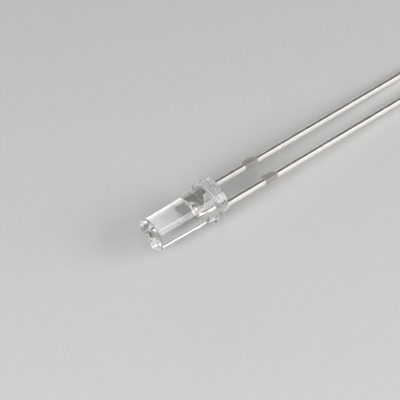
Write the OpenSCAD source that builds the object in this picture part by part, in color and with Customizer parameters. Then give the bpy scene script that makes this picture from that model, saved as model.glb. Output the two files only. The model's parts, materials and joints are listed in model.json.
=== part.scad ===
// Round flat-top through-hole LED with a 3 mm water-clear epoxy body on two flat leads.
// Each piece is modelled upright: z = 0 is the back of the flange, +Z points to the flat face,
// X spreads the leads and Y is the thickness of the leadframe sheet.
// laid_down() then puts the whole lamp on the floor as it comes to rest: lens towards -X,
// leads towards +X, z = 0 the floor, and the origin under the middle of its bounding box.

/* [Epoxy barrel] */
// Diameter of the barrel where it leaves the flange
barrel_base_d = 3.1; // [2.9:0.05:3.4]
// Diameter of the barrel at the flat face, smaller by the draft of the mould
barrel_face_d = 2.9; // [2.7:0.05:3.1]
// Height from the back of the flange to the flat face
body_h = 6.8; // [4.6:0.1:9]
// Radius of the rounded edge round the flat face
face_edge_r = 0.15; // [0.05:0.01:0.4]

/* [Epoxy flange] */
// Diameter of the flange
flange_d = 3.8; // [3.7:0.05:4.4]
// Height of the flange along the axis
flange_h = 1.0; // [0.6:0.05:1.4]
// Radius of the two rounded edges of the flange's rim
flange_edge_r = 0.08; // [0.02:0.01:0.2]
// Radius of the fillet between the barrel and the front of the flange
root_fillet_r = 0.1; // [0.03:0.01:0.15]
// How far the resin has climbed down each lead behind the flange
resin_collar_h = 0.2; // [0.05:0.01:0.35]
// Resin left round the corners of a lead at the end of its collar
resin_collar_lip = 0.03; // [0.02:0.01:0.08]

/* [Leads] */
// Distance between the centres of the two leads
lead_pitch = 2.54; // [2.3:0.02:2.6]
// Width of a lead in the plane of the sheet
lead_w = 0.4; // [0.3:0.02:0.5]
// Thickness of the leadframe sheet
sheet_t = 0.45; // [0.3:0.05:0.5]
// Radius that plating and tumbling leave on the long edges of a lead
lead_edge_r = 0.08; // [0.02:0.01:0.12]
// Length of the anode lead behind the flange
anode_len = 27; // [12:0.5:32]
// Length of the cathode lead behind the flange
cathode_len = 25.4; // [11:0.2:31]

/* [Cut tie bar stubs] */
// Distance from the back of the flange to the sheared side of the stub
stub_start = 4.3; // [1.5:0.1:7]
// How much farther from the flange the stub's square shoulder begins
stub_lag = 0.15; // [0.05:0.05:0.3]
// Length of the stub along the lead
stub_len = 1.35; // [0.8:0.05:2]
// How far the stub's square shoulder stands out on the cathode side
stub_out = 0.27; // [0.1:0.01:0.4]
// How far the stub still stands out where its end slope begins
stub_out_end = 0.17; // [0.05:0.01:0.4]
// Length of the stub's end slope along the lead
stub_slope = 0.33; // [0.1:0.01:0.5]
// How far the sheared face stands out on the anode side
stub_flush = 0.04; // [0.01:0.01:0.1]

/* [Leadframe heads] */
// Height of the tops of the anvil and the post above the back of the flange
head_top = 2.6; // [2.3:0.05:3.2]
// Height at which the leads begin to lean inwards
head_root = 0.35; // [0.2:0.05:0.6]
// Rise over which a lead leans in to its head
head_lean = 0.35; // [0.25:0.05:0.6]
// Distance of the outer edges of both heads from the axis
head_reach = 1.16; // [1.0:0.02:1.3]
// How far the anvil reaches past the axis towards the post
anvil_past = 0.5; // [0.46:0.02:0.56]
// Height of the anvil's nose, under the inner side of its top
anvil_nose = 0.85; // [0.6:0.05:1.0]
// Height at which the sloping underside of the anvil meets its neck
anvil_crotch = 1.1; // [1.0:0.05:1.3]
// Width of the anvil's neck
anvil_neck_w = 0.85; // [0.6:0.05:0.95]
// Gap between the anvil and the post
head_gap = 0.22; // [0.15:0.01:0.3]
// Width of the post's neck
post_neck_w = 0.3; // [0.2:0.02:0.4]
// Height of the wider bonding tip on the post
post_tip_h = 0.4; // [0.2:0.05:0.6]

/* [Reflector cup] */
// Diameter of the upset rim that the cup is struck into
cup_rim_d = 0.86; // [0.82:0.02:1.0]
// Height of the straight part of the upset rim
cup_rim_h = 0.22; // [0.1:0.02:0.35]
// Height over which the sheet flares out to the rim
cup_flare_h = 0.5; // [0.3:0.05:0.7]
// Diameter of the cup's mouth
cup_mouth_d = 0.72; // [0.66:0.02:0.78]
// Diameter of the cup's floor
cup_floor_d = 0.46; // [0.44:0.01:0.56]
// Depth of the cup
cup_depth = 0.32; // [0.24:0.01:0.4]

/* [Die and bond wire] */
// Side of the square die
die_w = 0.26; // [0.2:0.01:0.28]
// Height of the die
die_h = 0.18; // [0.1:0.01:0.24]
// Thickness of the silver glue under the die
glue_t = 0.015; // [0.01:0.005:0.03]
// Height to which the glue wets the sides of the die
glue_wet_h = 0.05; // [0.03:0.01:0.08]
// Glue beyond the corners of the die
glue_spread = 0.015; // [0.005:0.005:0.02]
// Diameter of the gold wire
wire_d = 0.03; // [0.02:0.005:0.05]
// Radius of the bend at the top of the wire's loop
wire_bend_r = 0.16; // [0.1:0.01:0.2]
// Slope of the wire as it runs down to the post
wire_slope = 22; // [15:1:35]
// Diameter of the ball bond on the die
ball_d = 0.09; // [0.06:0.01:0.12]
// Height of the ball bond
ball_h = 0.03; // [0.02:0.005:0.05]
// Length of the flattened tail of the wire on the post
wedge_len = 0.1; // [0.06:0.01:0.14]
// Thickness of the flattened tail
wedge_t = 0.014; // [0.01:0.001:0.02]

/* [Hidden] */

round_fn = 96;
small_fn = 48;

barrel_base_r = barrel_base_d / 2;
barrel_face_r = barrel_face_d / 2;
flange_r = flange_d / 2;

// Draft of the barrel's wall, and the wall's radius at a height
draft = atan((barrel_base_r - barrel_face_r) / (body_h - flange_h));
function wall_r(z) = barrel_base_r - (z - flange_h) * tan(draft);

// The cathode stands at -X and the anode at +X
lead_x = lead_pitch / 2;
lead_corner_r = norm([lead_w, sheet_t]) / 2;

// The outer and inner edges of the post and of the anvil's neck
post_in = anvil_past + head_gap;
neck_in = head_reach - anvil_neck_w;
post_neck_in = head_reach - post_neck_w;
post_mid = (post_in + head_reach) / 2;
neck_z = head_root + head_lean;

cup_floor_z = head_top - cup_depth;
die_z = cup_floor_z + glue_t;
die_top_z = die_z + die_h;
glue_r = die_w / 2 * sqrt(2) + glue_spread;

// Height at which the wire's bend begins, so that its slope ends on the middle of the post
wire_run = post_mid - wire_bend_r * (1 + sin(wire_slope));
bend_z = head_top + wire_run * tan(wire_slope) - wire_bend_r * cos(wire_slope) + wedge_t / 2;

// At rest three points touch the floor: the flange's back edge and the ends of both leads.
// rest_lean is the floor's slope along the lamp over its slope across, solved from those three.
rest_skew = (anode_len - cathode_len) / lead_pitch;
rest_reach = (anode_len + cathode_len) / 2 + abs(rest_skew) * lead_w / 2;
rest_a = pow(rest_reach, 2) - pow(flange_r * rest_skew, 2);
rest_c = pow(sheet_t / 2, 2) - pow(flange_r, 2);
rest_root = sqrt(pow(rest_reach * sheet_t, 2) - 4 * rest_a * rest_c);
rest_lean = (rest_root - rest_reach * sheet_t) / (2 * rest_a);
rest_roll = -atan(rest_skew * rest_lean);
rest_tilt = atan(rest_lean / sqrt(1 + pow(rest_skew * rest_lean, 2)));

// The ends of the tilted lamp along X, and the middle between them
low_x = -(body_h - face_edge_r) * cos(rest_tilt)
    - (barrel_face_r - face_edge_r) * sin(rest_tilt) - face_edge_r;
high_x = max(anode_len, cathode_len) * cos(rest_tilt) + sheet_t / 2 * sin(rest_tilt);
rest_shift = -(low_x + high_x) / 2;
rest_lift = flange_r * cos(rest_tilt);

module laid_down() {
    translate([rest_shift, 0, rest_lift])
        rotate([rest_roll, rest_tilt, 0])
            rotate([90, 0, -90])
                children();
}

// Half section of the flange, with both edges of its rim rounded
module flange_section() {
    square([flange_r - flange_edge_r, flange_h]);
    translate([0, flange_edge_r])
        square([flange_r, flange_h - 2 * flange_edge_r]);
    for (z = [flange_edge_r, flange_h - flange_edge_r])
        translate([flange_r - flange_edge_r, z])
            circle(r = flange_edge_r, $fn = small_fn);
}

// Half section of the drafted barrel; the edge arc is tangent to the wall and to the flat face
module barrel_section() {
    arc_z = body_h - face_edge_r;
    arc_x = wall_r(arc_z) - face_edge_r / cos(draft);
    polygon([
        [0, flange_h / 2],
        [barrel_base_r, flange_h / 2],
        [barrel_base_r, flange_h],
        [arc_x + face_edge_r * cos(draft), arc_z + face_edge_r * sin(draft)],
        [arc_x, body_h],
        [0, body_h]
    ]);
    translate([arc_x, arc_z])
        circle(r = face_edge_r, $fn = small_fn);
}

// Half section of the fillet in the corner between the flange's front and the barrel's wall
module root_fillet_section() {
    arc_z = flange_h + root_fillet_r;
    arc_x = wall_r(arc_z) + root_fillet_r / cos(draft);
    touch = [arc_x - root_fillet_r * cos(draft), arc_z - root_fillet_r * sin(draft)];
    difference() {
        polygon([
            [barrel_face_r, flange_h / 2],
            [arc_x, flange_h / 2],
            [arc_x, arc_z],
            touch,
            [barrel_face_r, touch[1]]
        ]);
        translate([arc_x, arc_z])
            circle(r = root_fillet_r, $fn = small_fn);
    }
}

// The hollow-sided collar of resin that wets a lead behind the flange
module resin_collar() {
    collar_end_r = lead_corner_r + resin_collar_lip;
    rotate_extrude($fn = round_fn)
        difference() {
            translate([0, -resin_collar_h])
                square([collar_end_r + resin_collar_h, resin_collar_h + flange_h / 2]);
            translate([collar_end_r + resin_collar_h, -resin_collar_h])
                circle(r = resin_collar_h, $fn = small_fn);
        }
}

module epoxy_body() {
    rotate_extrude($fn = round_fn) {
        flange_section();
        barrel_section();
        root_fillet_section();
    }
    for (side = [-1, 1])
        translate([side * lead_x, 0, 0])
            resin_collar();
}

// A stamped outline in the plane of the sheet, given its thickness
module from_sheet() {
    translate([0, sheet_t / 2, 0])
        rotate([90, 0, 0])
            linear_extrude(sheet_t)
                children();
}

// The straight lead, from its cut end up into the flange
module lead_shank(len) {
    translate([0, 0, -len])
        linear_extrude(len + head_root) {
            square([lead_w - 2 * lead_edge_r, sheet_t], center = true);
            square([lead_w, sheet_t - 2 * lead_edge_r], center = true);
            for (x = [-1, 1], y = [-1, 1])
                translate([x * (lead_w / 2 - lead_edge_r), y * (sheet_t / 2 - lead_edge_r)])
                    circle(r = lead_edge_r, $fn = small_fn);
        }
}

// What is left of the bar that tied the leads together in the strip
module tie_bar_stub() {
    half_w = lead_w / 2;
    start_z = -stub_start;
    shoulder_z = start_z - stub_lag;
    slope_z = start_z - stub_len + stub_slope;
    end_z = start_z - stub_len;
    from_sheet()
        polygon([
            [half_w + stub_flush, start_z],
            [half_w - lead_edge_r, start_z],
            [half_w - lead_edge_r, shoulder_z],
            [-half_w - stub_out, shoulder_z],
            [-half_w - stub_out_end, slope_z],
            [-half_w + lead_edge_r, end_z],
            [half_w - lead_edge_r, end_z],
            [half_w + stub_flush, end_z + stub_flush]
        ]);
}

// The anvil leans in from the cathode lead and carries the cup on the axis
module anvil_outline() {
    polygon([
        [-lead_x - lead_w / 2, head_root / 2],
        [-lead_x - lead_w / 2, head_root],
        [-head_reach, neck_z],
        [-head_reach, head_top],
        [anvil_past, head_top],
        [anvil_past, head_top - anvil_nose],
        [-neck_in, anvil_crotch],
        [-neck_in, neck_z],
        [-lead_x + lead_w / 2, head_root],
        [-lead_x + lead_w / 2, head_root / 2]
    ]);
}

// The post leans in from the anode lead and ends in the wider tip that the wire is bonded to
module post_outline() {
    tip_z = head_top - post_tip_h;
    polygon([
        [lead_x + lead_w / 2, head_root / 2],
        [lead_x + lead_w / 2, head_root],
        [head_reach, neck_z],
        [head_reach, head_top],
        [post_in, head_top],
        [post_in, tip_z],
        [post_neck_in, tip_z - (post_neck_in - post_in)],
        [post_neck_in, neck_z],
        [lead_x - lead_w / 2, head_root],
        [lead_x - lead_w / 2, head_root / 2]
    ]);
}

// The end of the sheet upset into a round rim
module cup_upset() {
    rim_z = head_top - cup_rim_h;
    translate([0, 0, rim_z])
        cylinder(d = cup_rim_d, h = cup_rim_h, $fn = small_fn);
    translate([0, 0, rim_z - cup_flare_h])
        cylinder(d1 = sheet_t, d2 = cup_rim_d, h = cup_flare_h, $fn = small_fn);
}

// The tapered recess struck into the upset rim
module cup_recess() {
    cup_slope = (cup_mouth_d - cup_floor_d) / cup_depth;
    above = cup_rim_h;
    translate([0, 0, cup_floor_z])
        cylinder(d1 = cup_floor_d, d2 = cup_mouth_d + above * cup_slope,
            h = cup_depth + above, $fn = small_fn);
}

module cathode_frame() {
    difference() {
        union() {
            translate([-lead_x, 0, 0]) {
                lead_shank(cathode_len);
                tie_bar_stub();
            }
            from_sheet()
                anvil_outline();
            cup_upset();
        }
        cup_recess();
    }
}

module anode_frame() {
    translate([lead_x, 0, 0]) {
        lead_shank(anode_len);
        tie_bar_stub();
    }
    from_sheet()
        post_outline();
}

module die_block() {
    translate([-die_w / 2, -die_w / 2, die_z])
        cube([die_w, die_w, die_h]);
}

// The glue lies under the die and rises a little way up its sides
module glue_bed() {
    translate([0, 0, cup_floor_z])
        cylinder(r1 = min(glue_r + glue_wet_h, cup_floor_d / 2), r2 = glue_r,
            h = glue_t + glue_wet_h, $fn = small_fn);
}

// The wire rises from its ball on the die, bends over and runs down to the post
module gold_wire() {
    slope_x = wire_bend_r * (1 + sin(wire_slope));
    slope_z = bend_z + wire_bend_r * cos(wire_slope);
    translate([0, 0, die_top_z]) {
        cylinder(d = ball_d, h = ball_h, $fn = small_fn);
        cylinder(d = wire_d, h = bend_z - die_top_z, $fn = small_fn);
    }
    translate([wire_bend_r, 0, bend_z])
        rotate([0, wire_slope - 90, 0])
            rotate([90, 0, 0])
                rotate_extrude(angle = 90 + wire_slope, $fn = round_fn)
                    translate([wire_bend_r, 0])
                        circle(d = wire_d, $fn = small_fn);
    translate([slope_x, 0, slope_z])
        rotate([0, 90 + wire_slope, 0])
            cylinder(d = wire_d, h = wire_run / cos(wire_slope), $fn = small_fn);
    translate([post_mid - wire_d, -wire_d, head_top])
        cube([wedge_len + wire_d, 2 * wire_d, wedge_t]);
}

module lens() {
    color("#dfe4e6", 0.4)
        laid_down()
            difference() {
                epoxy_body();
                cathode_frame();
                anode_frame();
                glue_bed();
                die_block();
                gold_wire();
            }
}

module cathode_lead() {
    color("#d9d5cf")
        laid_down()
            cathode_frame();
}

module anode_lead() {
    color("#d9d5cf")
        laid_down()
            anode_frame();
}

module die_attach() {
    color("#b9bbbd")
        laid_down()
            difference() {
                glue_bed();
                die_block();
            }
}

module led_die() {
    color("#6f7064")
        laid_down()
            die_block();
}

module bond_wire() {
    color("#d9b25a")
        laid_down()
            gold_wire();
}

lens();
cathode_lead();
anode_lead();
die_attach();
led_die();
bond_wire();
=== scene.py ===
"""A 3 mm flat-top through-hole LED in clear epoxy, lying on a pale table."""
import json
import math

import bmesh
import bpy
from mathutils import Matrix, Vector


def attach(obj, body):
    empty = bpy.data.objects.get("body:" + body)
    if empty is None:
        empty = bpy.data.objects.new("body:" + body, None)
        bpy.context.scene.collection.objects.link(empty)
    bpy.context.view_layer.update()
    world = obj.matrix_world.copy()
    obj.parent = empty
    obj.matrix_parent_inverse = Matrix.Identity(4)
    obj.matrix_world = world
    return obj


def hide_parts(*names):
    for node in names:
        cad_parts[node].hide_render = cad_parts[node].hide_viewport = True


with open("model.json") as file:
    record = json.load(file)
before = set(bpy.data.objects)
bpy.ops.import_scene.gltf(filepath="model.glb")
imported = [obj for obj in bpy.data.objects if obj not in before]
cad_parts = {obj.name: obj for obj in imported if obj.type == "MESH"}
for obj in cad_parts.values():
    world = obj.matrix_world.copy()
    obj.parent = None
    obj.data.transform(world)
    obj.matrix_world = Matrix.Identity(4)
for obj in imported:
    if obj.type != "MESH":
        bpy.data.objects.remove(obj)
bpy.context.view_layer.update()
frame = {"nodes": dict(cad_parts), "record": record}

# The camera
# A long lens looks down over the flat face and the anode's side, as in the photograph.
# Its three angles, distance and aim were fitted to the outlines of the lamp there.

MM = 0.001
CAMERA_AZIMUTH = math.radians(-35.7)
CAMERA_ELEVATION = math.radians(46.5)
CAMERA_ROLL = math.radians(-5.5)
CAMERA_DISTANCE = 150 * MM
CAMERA_AIM = Vector((-11.10, 0.66, 1.83)) * MM
PIXELS_PER_MM = 12.05
PICTURE_PIXELS = 400
SENSOR_WIDTH = 36.0


def direction(azimuth, elevation):
    """The way from the lamp to something at these angles; azimuth 0 is in front, at -Y."""
    flat = math.cos(elevation)
    return Vector((math.sin(azimuth) * flat, -math.cos(azimuth) * flat, math.sin(elevation)))


def aim(thing, place, target, roll=0.0):
    """Put a camera or lamp at a place, looking at a target."""
    turn = (target - place).to_track_quat("-Z", "Y").to_matrix().to_4x4()
    thing.matrix_world = Matrix.Translation(place) @ turn @ Matrix.Rotation(roll, 4, "Z")


bpy.ops.object.camera_add()
camera = bpy.context.object
camera.data.sensor_width = SENSOR_WIDTH
camera.data.lens = SENSOR_WIDTH * PIXELS_PER_MM * CAMERA_DISTANCE / MM / PICTURE_PIXELS
camera.data.clip_start = 0.001
place = CAMERA_AIM + CAMERA_DISTANCE * direction(CAMERA_AZIMUTH, CAMERA_ELEVATION)
aim(camera, place, CAMERA_AIM, CAMERA_ROLL)
bpy.context.scene.camera = camera

# The epoxy body
# Clear epoxy, cast round the leadframe in a polished cup and pulled out by its draft.
# The flange is the top of the casting, so its back is the free surface of the resin, which
# climbs each lead in a small collar. The metal sits in this solid with no gap of its own.

BARREL_BASE_R = 1.55
BARREL_FACE_R = 1.45
BODY_H = 6.8
FACE_EDGE_R = 0.15
FLANGE_R = 1.9
FLANGE_H = 1.0
FLANGE_EDGE_R = 0.08
ROOT_FILLET_R = 0.1
COLLAR_H = 0.2
COLLAR_LIP = 0.03
LEAD_PITCH = 2.54
LEAD_W = 0.4
SHEET_T = 0.45
ANODE_LEN = 27.0
CATHODE_LEN = 25.4
ROUND_STEPS = 192
FACE_EDGE_STEPS = 10
SMALL_EDGE_STEPS = 6
SMOOTH_ANGLE = math.radians(35)
NEAR = 1e-4


def rest_angles():
    """Tilt and roll of the lamp lying on its flange's back edge and the ends of both leads."""
    skew = (ANODE_LEN - CATHODE_LEN) / LEAD_PITCH
    reach = (ANODE_LEN + CATHODE_LEN) / 2 + abs(skew) * LEAD_W / 2
    a = reach ** 2 - (FLANGE_R * skew) ** 2
    c = (SHEET_T / 2) ** 2 - FLANGE_R ** 2
    lean = (math.sqrt((reach * SHEET_T) ** 2 - 4 * a * c) - reach * SHEET_T) / (2 * a)
    return math.atan(lean / math.hypot(1, skew * lean)), -math.atan(skew * lean)


REST_TILT, REST_ROLL = rest_angles()
mounts = {mount["name"]: mount for mount in frame["record"]["mounts"]}
seat = Vector(mounts["lead_pair"]["pos_m"])
laid_down = (
    Matrix.Translation(seat)
    @ Matrix.Rotation(REST_TILT, 4, "Y")
    @ Matrix.Rotation(REST_ROLL, 4, "X")
    @ Matrix.Rotation(math.radians(-90), 4, "Z")
    @ Matrix.Rotation(math.radians(90), 4, "X")
    @ Matrix.Scale(MM, 4)
)


def lay_down(piece):
    """Move a piece modelled upright in millimetres to where the lamp lies, in metres."""
    piece.matrix_world = laid_down
    bpy.ops.object.select_all(action="DESELECT")
    piece.select_set(True)
    bpy.context.view_layer.objects.active = piece
    bpy.ops.object.transform_apply(location=True, rotation=True, scale=True)


def edit(piece, mode):
    """Enter edit mode on one piece with nothing selected, in vertex, edge or face mode."""
    if bpy.context.object and bpy.context.object.mode == "EDIT":
        bpy.ops.object.mode_set(mode="OBJECT")
    bpy.ops.object.select_all(action="DESELECT")
    piece.select_set(True)
    bpy.context.view_layer.objects.active = piece
    bpy.ops.object.mode_set(mode="EDIT")
    bpy.ops.mesh.select_mode(type=mode)
    bpy.ops.mesh.select_all(action="DESELECT")


def select(piece, kind, wanted):
    """Select the faces or edges that a test picks, and nothing else."""
    mesh = bmesh.from_edit_mesh(piece.data)
    for item in getattr(mesh, kind):
        item.select_set(wanted(item))
    bmesh.update_edit_mesh(piece.data)


def on_circle(radius, height):
    """A test for the edges that lie on a circle round Z."""
    def wanted(edge):
        return all(
            abs(v.co.z - height) < NEAR and abs(math.hypot(v.co.x, v.co.y) - radius) < NEAR
            for v in edge.verts
        )
    return wanted


def round_edge(piece, radius, height, width, steps):
    """Bevel the round edge that lies at a radius and height."""
    edit(piece, "EDGE")
    select(piece, "edges", on_circle(radius, height))
    bpy.ops.mesh.bevel(offset=width, segments=steps, profile=0.5, affect="EDGES")
    bpy.ops.object.mode_set(mode="OBJECT")


bpy.ops.object.select_all(action="DESELECT")
bpy.ops.mesh.primitive_cylinder_add(
    vertices=ROUND_STEPS, radius=FLANGE_R, depth=FLANGE_H, location=(0, 0, FLANGE_H / 2)
)
body = bpy.context.object
body.name = "clear_epoxy_body"
bpy.ops.object.transform_apply(location=True, rotation=False, scale=False)
edit(body, "FACE")
select(body, "faces", lambda face: face.normal.z > 0.9)
bpy.ops.mesh.inset(thickness=FLANGE_R - BARREL_BASE_R)
bpy.ops.mesh.extrude_region_move(TRANSFORM_OT_translate={"value": (0, 0, BODY_H - FLANGE_H)})
draft = BARREL_FACE_R / BARREL_BASE_R
bpy.ops.transform.resize(value=(draft, draft, 1), center_override=(0, 0, BODY_H))
bpy.ops.object.mode_set(mode="OBJECT")
base_edge_r = max(
    math.hypot(v.co.x, v.co.y) for v in body.data.vertices
    if abs(v.co.z - FLANGE_H) < NEAR and math.hypot(v.co.x, v.co.y) < FLANGE_R - NEAR
)
face_edge_r = max(
    math.hypot(v.co.x, v.co.y) for v in body.data.vertices if abs(v.co.z - BODY_H) < NEAR
)
round_edge(body, face_edge_r, BODY_H, FACE_EDGE_R, FACE_EDGE_STEPS)
round_edge(body, base_edge_r, FLANGE_H, ROOT_FILLET_R, SMALL_EDGE_STEPS)
round_edge(body, FLANGE_R, FLANGE_H, FLANGE_EDGE_R, SMALL_EDGE_STEPS)
round_edge(body, FLANGE_R, 0, FLANGE_EDGE_R, SMALL_EDGE_STEPS)

COLLAR_SIDES = 64
COLLAR_STEPS = 8
collar_end_r = math.hypot(LEAD_W, SHEET_T) / 2 + COLLAR_LIP
for side in (-1, 1):
    lead_x = side * LEAD_PITCH / 2
    bpy.ops.object.select_all(action="DESELECT")
    bpy.ops.mesh.primitive_cylinder_add(
        vertices=COLLAR_SIDES, radius=collar_end_r + COLLAR_H, depth=FLANGE_H / 2,
        location=(lead_x, 0, FLANGE_H / 4)
    )
    collar = bpy.context.object
    bpy.ops.object.transform_apply(location=True, rotation=False, scale=False)
    edit(collar, "FACE")
    select(collar, "faces", lambda face: face.normal.z < -0.9)
    ring_r = collar_end_r + COLLAR_H
    ring_z = 0.0
    for step in range(1, COLLAR_STEPS + 1):
        turn = math.pi / 2 * step / COLLAR_STEPS
        next_r = collar_end_r + COLLAR_H * (1 - math.sin(turn))
        next_z = -COLLAR_H * (1 - math.cos(turn))
        bpy.ops.mesh.extrude_region_move(
            TRANSFORM_OT_translate={"value": (0, 0, next_z - ring_z)}
        )
        shrink = next_r / ring_r
        bpy.ops.transform.resize(
            value=(shrink, shrink, 1), center_override=(lead_x, 0, next_z)
        )
        ring_r = next_r
        ring_z = next_z
    bpy.ops.object.mode_set(mode="OBJECT")
    join = body.modifiers.new("join", "BOOLEAN")
    join.operation = "UNION"
    join.solver = "EXACT"
    join.object = collar
    bpy.ops.object.select_all(action="DESELECT")
    body.select_set(True)
    bpy.context.view_layer.objects.active = body
    bpy.ops.object.modifier_apply(modifier=join.name)
    bpy.data.objects.remove(collar)

bpy.ops.object.shade_smooth_by_angle(angle=SMOOTH_ANGLE)
even = body.modifiers.new("even", "WEIGHTED_NORMAL")
even.mode = "FACE_AREA"
even.weight = 100
even.keep_sharp = True
bpy.ops.object.modifier_apply(modifier=even.name)
lay_down(body)
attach(body, "root")
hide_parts("lens")


def linear(hex_colour):
    """A colour written as sRGB hex, as linear RGBA."""
    parts = [int(hex_colour[i:i + 2], 16) / 255 for i in (1, 3, 5)]
    return [c / 12.92 if c <= 0.04045 else ((c + 0.055) / 1.055) ** 2.4 for c in parts] + [1.0]


def new_material(name):
    """A material with an empty principled shader; gives back its nodes too."""
    made = bpy.data.materials.new(name)
    made.use_nodes = True
    return made, made.node_tree, made.node_tree.nodes["Principled BSDF"]


def add(tree, kind, settings=None, values=None, links=None):
    """Add a node, set its properties and socket values, and link sockets to its inputs."""
    node = tree.nodes.new("ShaderNode" + kind)
    for key, value in (settings or {}).items():
        setattr(node, key, value)
    for key, value in (values or {}).items():
        node.inputs[key].default_value = value
    for key, source in (links or {}).items():
        tree.links.new(source, node.inputs[key])
    return node


def per_mm(size_mm):
    """The Scale of a pattern whose features are this many millimetres apart."""
    return 1 / (size_mm * MM)


WAVE_MM, HAZE_MM, PATCH_MM = 1.6, 0.5, 0.6
WAVE_DEPTH = 0.02 * MM
HAZE_ROUGH = 0.05
FREE_SURFACE_ROUGH = 0.1
FREE_SURFACE_DEPTH, FREE_SURFACE_FULL = 0.05 * MM, 0.01 * MM
FROSTED_ROUGH = 0.9
FROSTED_CLEAR = 0.8

# Cast water-clear epoxy, polished by the mould: clear, a faint waviness, a breath of haze.
# The back of the flange set in the open air, so it is softer and frosted in patches.
epoxy, tree, shader = new_material("cast_clear_epoxy")
shader.inputs["Base Color"].default_value = linear("#fbfcfc")
shader.inputs["IOR"].default_value = 1.52
coords = add(tree, "TexCoord").outputs["Object"]
waves = add(
    tree, "TexNoise", None, {"Scale": per_mm(WAVE_MM), "Detail": 1.5}, {"Vector": coords}
)
haze = add(
    tree, "TexNoise", None, {"Scale": per_mm(HAZE_MM), "Detail": 3.0}, {"Vector": coords}
)
polish = add(
    tree, "MapRange", None,
    {"From Min": 0.4, "From Max": 0.75, "To Min": 0.0, "To Max": HAZE_ROUGH},
    {"Value": haze.outputs[0]}
)
lead_way = Vector(mounts["lead_pair"]["axis"]).normalized()
along = add(tree, "VectorMath", {"operation": "DOT_PRODUCT"}, {1: lead_way}, {0: coords})
free_surface = add(
    tree, "MapRange", None,
    {"From Min": seat.dot(lead_way) - FREE_SURFACE_DEPTH,
     "From Max": seat.dot(lead_way) - FREE_SURFACE_FULL},
    {"Value": along.outputs["Value"]}
)
polish = add(
    tree, "MapRange", None, {"To Max": FREE_SURFACE_ROUGH},
    {"Value": free_surface.outputs[0], "To Min": polish.outputs[0]}
)
patches = add(
    tree, "TexNoise", None, {"Scale": per_mm(PATCH_MM), "Detail": 2.0}, {"Vector": coords}
)
frosted = add(
    tree, "MapRange", None, {"From Min": 0.36, "From Max": 0.44}, {"Value": patches.outputs[0]}
)
frosted = add(
    tree, "Math", {"operation": "MULTIPLY"}, None,
    {0: frosted.outputs[0], 1: free_surface.outputs[0]}
)
polish = add(
    tree, "MapRange", None, {"To Max": FROSTED_ROUGH},
    {"Value": frosted.outputs[0], "To Min": polish.outputs[0]}
)
tree.links.new(polish.outputs[0], shader.inputs["Roughness"])
clear = add(
    tree, "MapRange", None, {"To Min": 1.0, "To Max": FROSTED_CLEAR},
    {"Value": frosted.outputs[0]}
)
tree.links.new(clear.outputs[0], shader.inputs["Transmission Weight"])
ripple = add(
    tree, "Bump", None, {"Strength": 0.35, "Distance": WAVE_DEPTH},
    {"Height": waves.outputs[0]}
)
tree.links.new(ripple.outputs[0], shader.inputs["Normal"])
body.data.materials.clear()
body.data.materials.append(epoxy)

# The two leads
# One strip of steel sheet is stamped into both, plated with tin and cut apart after casting.
# The rolled faces stay smooth, the punched sides are satin, and the coined stubs are dull.

STUB_START = 4.3
STUB_LEN = 1.35
STUB_BLUR = 0.06
ROLLED_METAL, PUNCHED_METAL, COINED_METAL = 1.0, 0.45, 0.6
PUNCHED_ROUGH, COINED_ROUGH = 0.5, 0.5
EDGE_WEAR = 0.08 * MM
LINE_MM, LINE_LEN_MM, MOTTLE_MM = 0.08, 8, 0.8
GROOVE_DEPTH = 0.002 * MM

plating, tree, shader = new_material("tin_plated_leadframe_steel")
coords = add(tree, "TexCoord").outputs["Object"]
sheet_way = (laid_down.to_3x3() @ Vector((0, 1, 0))).normalized()
facing = add(
    tree, "VectorMath", {"operation": "DOT_PRODUCT"}, {1: sheet_way},
    {0: add(tree, "NewGeometry").outputs["True Normal"]}
)
facing = add(tree, "Math", {"operation": "ABSOLUTE"}, None, {0: facing.outputs["Value"]})
rolled = add(
    tree, "MapRange", None, {"From Min": 0.7, "From Max": 0.95}, {"Value": facing.outputs[0]}
)
along = add(tree, "VectorMath", {"operation": "DOT_PRODUCT"}, {1: lead_way}, {0: coords})
behind = add(
    tree, "Math", {"operation": "SUBTRACT"}, {1: seat.dot(lead_way)},
    {0: along.outputs["Value"]}
)
from_middle = add(
    tree, "Math", {"operation": "SUBTRACT"}, {1: (STUB_START + STUB_LEN / 2) * MM},
    {0: behind.outputs[0]}
)
from_middle = add(
    tree, "Math", {"operation": "ABSOLUTE"}, None, {0: from_middle.outputs[0]}
)
coined = add(
    tree, "MapRange", {"interpolation_type": "SMOOTHSTEP"},
    {"From Min": (STUB_LEN / 2 + STUB_BLUR) * MM, "From Max": (STUB_LEN / 2 - STUB_BLUR) * MM},
    {"Value": from_middle.outputs[0]}
)
# Rolling lines run along the lead, close together across it and long down it
lines_map = add(
    tree, "Mapping", None,
    {"Rotation": (0, REST_TILT, 0),
     "Scale": (per_mm(LINE_LEN_MM), per_mm(LINE_MM), per_mm(LINE_MM))},
    {"Vector": coords}
)
lines = add(
    tree, "TexNoise", None, {"Scale": 1.0, "Detail": 2.0}, {"Vector": lines_map.outputs[0]}
)
mottle = add(
    tree, "TexNoise", None, {"Scale": per_mm(MOTTLE_MM), "Detail": 3.0}, {"Vector": coords}
)
bright = add(
    tree, "MixRGB", None, {1: linear("#ebe8e2"), 2: linear("#f8f6f1")},
    {0: mottle.outputs[0]}
)
dulled = add(
    tree, "MixRGB", None, {2: linear("#b8b2ab")},
    {0: coined.outputs[0], 1: bright.outputs[0]}
)
tree.links.new(dulled.outputs[0], shader.inputs["Base Color"])
metal = add(
    tree, "MapRange", None, {"To Min": PUNCHED_METAL, "To Max": ROLLED_METAL},
    {"Value": rolled.outputs[0]}
)
metal = add(
    tree, "MapRange", None, {"To Max": COINED_METAL},
    {"Value": coined.outputs[0], "To Min": metal.outputs[0]}
)
tree.links.new(metal.outputs[0], shader.inputs["Metallic"])
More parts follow.
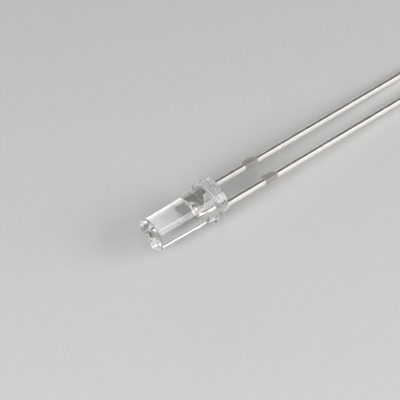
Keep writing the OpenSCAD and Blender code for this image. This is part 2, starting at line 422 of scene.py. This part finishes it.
rough = add(
    tree, "MapRange", None, {"To Min": 0.18, "To Max": 0.34}, {"Value": lines.outputs[0]}
)
rough = add(
    tree, "MapRange", None, {"To Min": PUNCHED_ROUGH},
    {"Value": rolled.outputs[0], "To Max": rough.outputs[0]}
)
rough = add(
    tree, "MapRange", None, {"To Max": COINED_ROUGH},
    {"Value": coined.outputs[0], "To Min": rough.outputs[0]}
)
tree.links.new(rough.outputs[0], shader.inputs["Roughness"])
worn_edges = add(tree, "Bevel", {"samples": 8}, {"Radius": EDGE_WEAR})
grooves = add(
    tree, "Bump", None, {"Strength": 0.3, "Distance": GROOVE_DEPTH},
    {"Height": lines.outputs[0], "Normal": worn_edges.outputs[0]}
)
tree.links.new(grooves.outputs[0], shader.inputs["Normal"])


def dress(node, finish):
    """Give a CAD node its finish in each of its slots."""
    piece = frame["nodes"][node]
    for slot in piece.material_slots:
        slot.material = finish


dress("cathode_lead", plating)
dress("anode_lead", plating)

# The glue and the die
# The die is sawn from a wafer and glued to the floor of the cup with silver-filled epoxy.

FLAKE_MM, SAW_MARK_MM = 0.02, 0.03

glue, tree, shader = new_material("silver_filled_epoxy")
coords = add(tree, "TexCoord").outputs["Object"]
flakes = add(tree, "TexVoronoi", None, {"Scale": per_mm(FLAKE_MM)}, {"Vector": coords})
grey = add(
    tree, "MixRGB", None, {1: linear("#a4a6a8"), 2: linear("#d3d4d4")},
    {0: flakes.outputs["Distance"]}
)
tree.links.new(grey.outputs[0], shader.inputs["Base Color"])
shader.inputs["Metallic"].default_value = 0.6
shader.inputs["Roughness"].default_value = 0.45
dress("die_attach", glue)

wafer, tree, shader = new_material("sawn_semiconductor")
coords = add(tree, "TexCoord").outputs["Object"]
saw_marks = add(
    tree, "TexNoise", None, {"Scale": per_mm(SAW_MARK_MM), "Detail": 2.0}, {"Vector": coords}
)
dark = add(
    tree, "MixRGB", None, {1: linear("#5b5a4c"), 2: linear("#7d7a66")},
    {0: saw_marks.outputs[0]}
)
tree.links.new(dark.outputs[0], shader.inputs["Base Color"])
shader.inputs["Metallic"].default_value = 0.3
shader.inputs["Roughness"].default_value = 0.25
dress("led_die", wafer)

# The bond wire
# Gold wire, bonded as a ball on the die, looped over and pressed flat on the post.

SHEEN_MM = 0.1

gold, tree, shader = new_material("drawn_gold_wire")
shader.inputs["Metallic"].default_value = 1.0
shader.inputs["Roughness"].default_value = 0.15
coords = add(tree, "TexCoord").outputs["Object"]
sheen = add(tree, "TexNoise", None, {"Scale": per_mm(SHEEN_MM), "Detail": 1.0}, {"Vector": coords})
warm = add(
    tree, "MixRGB", None, {1: linear("#e7b95a"), 2: linear("#f6d488")},
    {0: sheen.outputs[0]}
)
tree.links.new(warm.outputs[0], shader.inputs["Base Color"])
dress("bond_wire", gold)

# The table
# A plain pale sheet, wide enough to fill the picture.

TABLE_HALF = 90
PAPER_TOOTH_MM = 0.7
bpy.ops.object.select_all(action="DESELECT")
bpy.ops.mesh.primitive_plane_add(size=2 * TABLE_HALF * MM, location=(0, 0, 0))
table = bpy.context.object
table.name = "table"
paper, tree, shader = new_material("pale_matt_table")
coords = add(tree, "TexCoord").outputs["Object"]
tooth = add(
    tree, "TexNoise", None, {"Scale": per_mm(PAPER_TOOTH_MM), "Detail": 4.0}, {"Vector": coords}
)
pale = add(
    tree, "MixRGB", None, {1: linear("#c9c9c7"), 2: linear("#cfcfcd")},
    {0: tooth.outputs[0]}
)
tree.links.new(pale.outputs[0], shader.inputs["Base Color"])
shader.inputs["Roughness"].default_value = 0.9
shader.inputs["Specular IOR Level"].default_value = 0.2
table.data.materials.append(paper)

# The light
# A wide soft lamp low at the right front lies mirrored along the barrel as its pale band. One
# at the left shines in through the flat face, a low one behind draws the far edge of the clear
# body, and a weak one overhead fills in. The room is a dim grey.

LAMP_DISTANCE = 260 * MM
ROOM_LOW, ROOM_HIGH, ROOM_HIGH_AT = 0.05, 0.18, 0.6


def soft_lamp(name, azimuth, elevation, size_mm, glow):
    """A rectangular lamp aimed at the middle of the table; glow is its radiance."""
    bpy.ops.object.light_add(type="AREA")
    lamp = bpy.context.object
    lamp.name = name
    lamp.data.shape = "RECTANGLE"
    lamp.data.size = size_mm[0] * MM
    lamp.data.size_y = size_mm[1] * MM
    lamp.data.energy = math.pi * lamp.data.size * lamp.data.size_y * glow
    way = direction(math.radians(azimuth), math.radians(elevation))
    aim(lamp, LAMP_DISTANCE * way, Vector((0, 0, 0)))


soft_lamp("key_lamp", 31, 28, (180, 155), 5.6)
soft_lamp("edge_lamp", 153, 13, (150, 60), 2.2)
soft_lamp("side_lamp", -78, 24, (150, 110), 11.0)
soft_lamp("top_lamp", -20, 65, (150, 150), 1.6)

world = bpy.context.scene.world or bpy.data.worlds.new("room")
bpy.context.scene.world = world
world.use_nodes = True
tree = world.node_tree
background = tree.nodes["Background"]
height = add(
    tree, "SeparateXYZ", None, None, {0: add(tree, "TexCoord").outputs["Generated"]}
)
room = add(tree, "ValToRGB", None, None, {0: height.outputs["Z"]})
room.color_ramp.elements[0].position = 0.0
room.color_ramp.elements[0].color = (ROOM_LOW, ROOM_LOW, ROOM_LOW, 1)
room.color_ramp.elements[1].position = ROOM_HIGH_AT
room.color_ramp.elements[1].color = (ROOM_HIGH, ROOM_HIGH, ROOM_HIGH, 1)
tree.links.new(room.outputs[0], background.inputs["Color"])
background.inputs["Strength"].default_value = 1.0

scene = bpy.context.scene
scene.view_settings.view_transform = "Standard"
